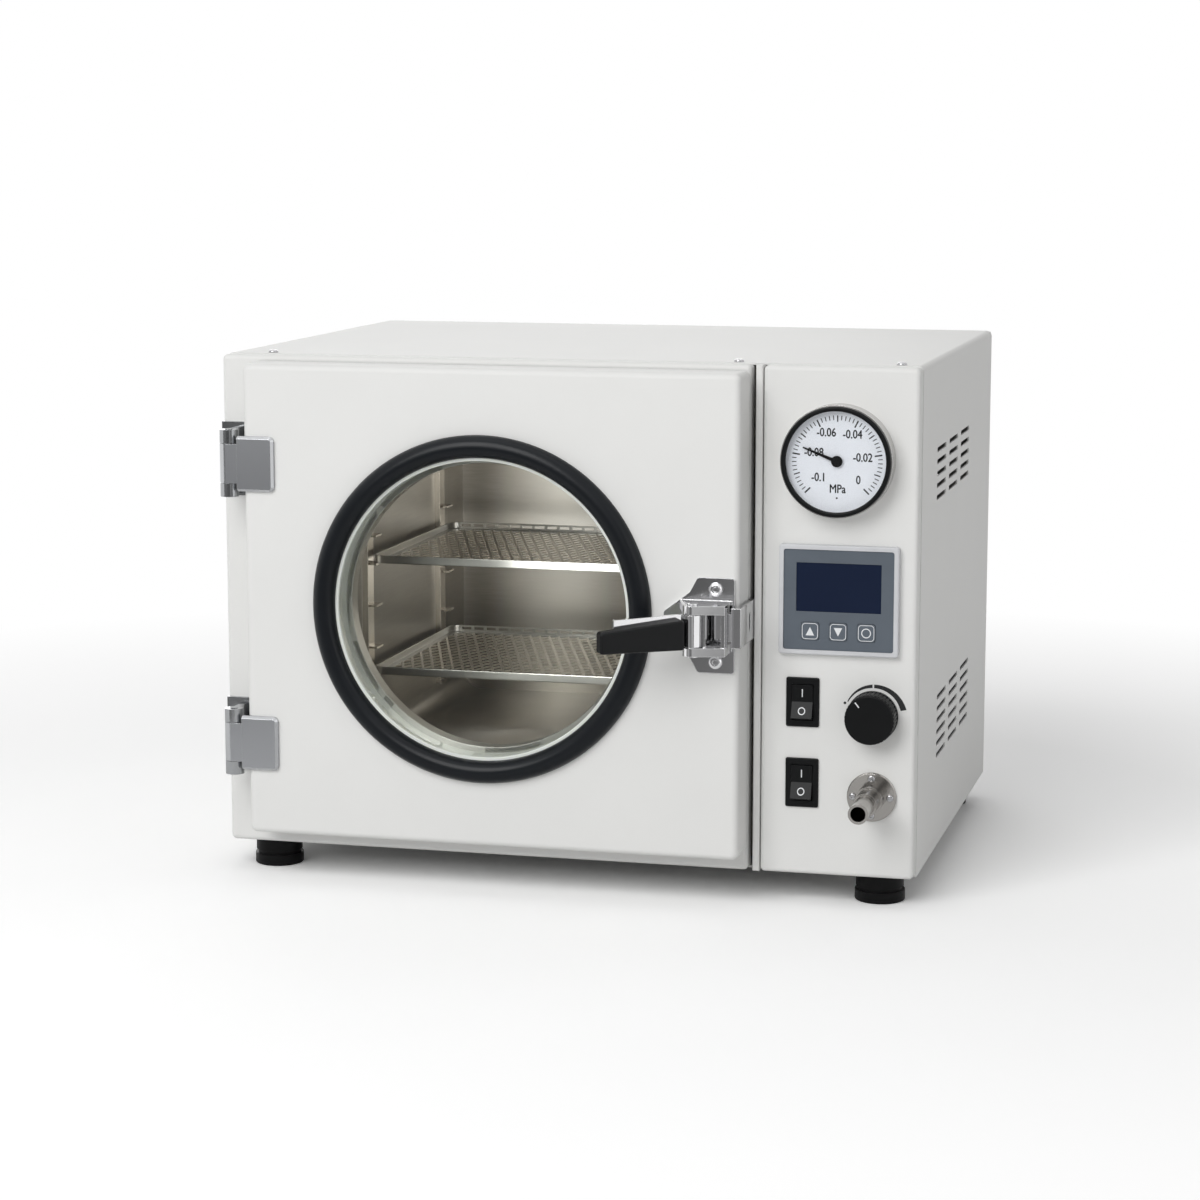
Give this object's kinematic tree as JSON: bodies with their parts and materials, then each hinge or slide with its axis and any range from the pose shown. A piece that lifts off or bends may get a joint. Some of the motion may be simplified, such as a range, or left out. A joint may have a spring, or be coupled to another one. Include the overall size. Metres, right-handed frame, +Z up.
{
  "type": "vacuum oven",
  "caption": "Bench-top vacuum oven: hinged door with a round window and lever latch, shelved steel chamber, vacuum gauge, controller, rocker switches, valve knob and hose nozzle.",
  "frame": {"origin": "on the bench, under the centre of the bounding box, at the bottom of the feet", "axes": "+Z up, +X to the user's right along the front, -Y towards the user"},
  "size_m": [0.58, 0.5463, 0.4362],
  "materials": {
    "painted_cabinet": "warm white powder coat, semi-matt",
    "painted_base": "grey-white powder coat",
    "chamber_steel": "brushed stainless",
    "shelf_steel": "bright rolled stainless",
    "plated_screws": "bright zinc and nickel plate",
    "latch_chrome": "polished chrome",
    "hinge_chrome": "satin chrome",
    "nozzle_steel": "turned stainless",
    "silicone": "pale silicone",
    "black_rubber": "matt black",
    "black_plastic": "fine satin black",
    "controller_shell": "light grey moulding",
    "controller_panel": "slate grey film",
    "screen": "dark navy display window",
    "clear_glass": "clear tempered glass",
    "dial_white": "white printed dial",
    "needle_black": "black enamel",
    "brass": "turned brass",
    "copper_pipe": "drawn tube",
    "wool": "ceramic fibre board",
    "heater_film": "silicone heater mat"
  },
  "bodies": {
    "cabinet": {"front_frame": "painted_cabinet", "control_panel": "painted_cabinet", "outer_cover": "painted_cabinet", "base_pan": "painted_base", "back_panel": "painted_base", "bulkhead": "painted_base", "cabinet_screws": "plated_screws", "chamber": "chamber_steel", "door_seal": "silicone", "heater_mats": "heater_film", "insulation": "wool", "temperature_probe": "nozzle_steel", "shelf_uprights": "chamber_steel", "upper_hinge_frame_leaf": "hinge_chrome", "lower_hinge_frame_leaf": "hinge_chrome", "hinge_pins": "hinge_chrome", "latch_strike": "latch_chrome", "gauge_case": "nozzle_steel", "gauge_ring": "black_plastic", "gauge_dial": "dial_white", "gauge_lens": "clear_glass", "controller_case": "controller_shell", "controller_face": "controller_panel", "controller_screen": "screen", "upper_switch_body": "black_plastic", "lower_switch_body": "black_plastic", "valve_block": "brass", "nozzle_flange": "nozzle_steel", "nozzle_tube": "nozzle_steel", "nozzle_screws": "plated_screws", "vacuum_pipe": "copper_pipe", "heater_relay": "black_plastic", "mains_inlet": "black_plastic", "inlet_blades": "brass", "feet": "black_rubber"},
    "door": {"door_shell": "painted_cabinet", "door_liner": "chamber_steel", "window_sleeve": "silicone", "window_glass": "clear_glass", "window_trim": "black_rubber", "glass_retainer": "chamber_steel", "retainer_screws": "plated_screws", "upper_hinge_door_leaf": "hinge_chrome", "lower_hinge_door_leaf": "hinge_chrome", "latch_base": "latch_chrome", "latch_screws": "plated_screws", "latch_pin": "latch_chrome"},
    "latch_lever": {"lever_arm": "latch_chrome", "lever_grip": "black_plastic"},
    "latch_bolt": {"latch_bolt": "latch_chrome"},
    "gauge_needle": {"gauge_needle": "needle_black"},
    "up_key": {"up_key": "controller_panel"},
    "down_key": {"down_key": "controller_panel"},
    "set_key": {"set_key": "controller_panel"},
    "upper_rocker": {"upper_rocker": "black_plastic"},
    "lower_rocker": {"lower_rocker": "black_plastic"},
    "knob": {"knob": "black_plastic", "valve_stem": "brass"},
    "upper_shelf": {"upper_shelf": "shelf_steel"},
    "lower_shelf": {"lower_shelf": "shelf_steel"}
  },
  "joints": [
    {"name": "door_hinge", "type": "hinge", "parent": "cabinet", "child": "door", "pos_m": [-0.2715, -0.19391, 0.231], "axis": [0, 0, -1], "range_deg": [0, 110]},
    {"name": "lever_pivot", "type": "hinge", "parent": "door", "child": "latch_lever", "pos_m": [0.1234, -0.22591, 0.231], "axis": [0, 0, 1], "range_deg": [0, 28]},
    {"name": "bolt_slide", "type": "slide", "parent": "door", "child": "latch_bolt", "axis": [-1, 0, 0], "range_m": [0, 0.0098]},
    {"name": "needle_spindle", "type": "hinge", "parent": "cabinet", "child": "gauge_needle", "pos_m": [0.2265, -0.15991, 0.3605], "axis": [0, 1, 0], "range_deg": [-66, 203.5], "stiffness_Nm_per_rad": 0.001},
    {"name": "up_key_press", "type": "slide", "parent": "cabinet", "child": "up_key", "axis": [0, 1, 0], "range_m": [0, 0.0008], "stiffness_N_per_m": 200},
    {"name": "down_key_press", "type": "slide", "parent": "cabinet", "child": "down_key", "axis": [0, 1, 0], "range_m": [0, 0.0008], "stiffness_N_per_m": 200},
    {"name": "set_key_press", "type": "slide", "parent": "cabinet", "child": "set_key", "axis": [0, 1, 0], "range_m": [0, 0.0008], "stiffness_N_per_m": 200},
    {"name": "upper_rocker_pivot", "type": "hinge", "parent": "cabinet", "child": "upper_rocker", "pos_m": [0.199, -0.15991, 0.1655], "axis": [1, 0, 0], "range_deg": [0, 20]},
    {"name": "lower_rocker_pivot", "type": "hinge", "parent": "cabinet", "child": "lower_rocker", "pos_m": [0.199, -0.15991, 0.1], "axis": [1, 0, 0], "range_deg": [0, 20]},
    {"name": "knob_turn", "type": "hinge", "parent": "cabinet", "child": "knob", "pos_m": [0.2556, -0.15991, 0.1567], "axis": [0, 1, 0], "range_deg": [-27, 117]},
    {"name": "upper_shelf_slide", "type": "slide", "parent": "cabinet", "child": "upper_shelf", "axis": [0, -1, 0], "range_m": [0, 0.07]},
    {"name": "lower_shelf_slide", "type": "slide", "parent": "cabinet", "child": "lower_shelf", "axis": [0, -1, 0], "range_m": [0, 0.07]}
  ],
  "couplings": [
    {"joint": "bolt_slide", "follows": "lever_pivot", "m_per_rad": 0.019802}
  ]
}
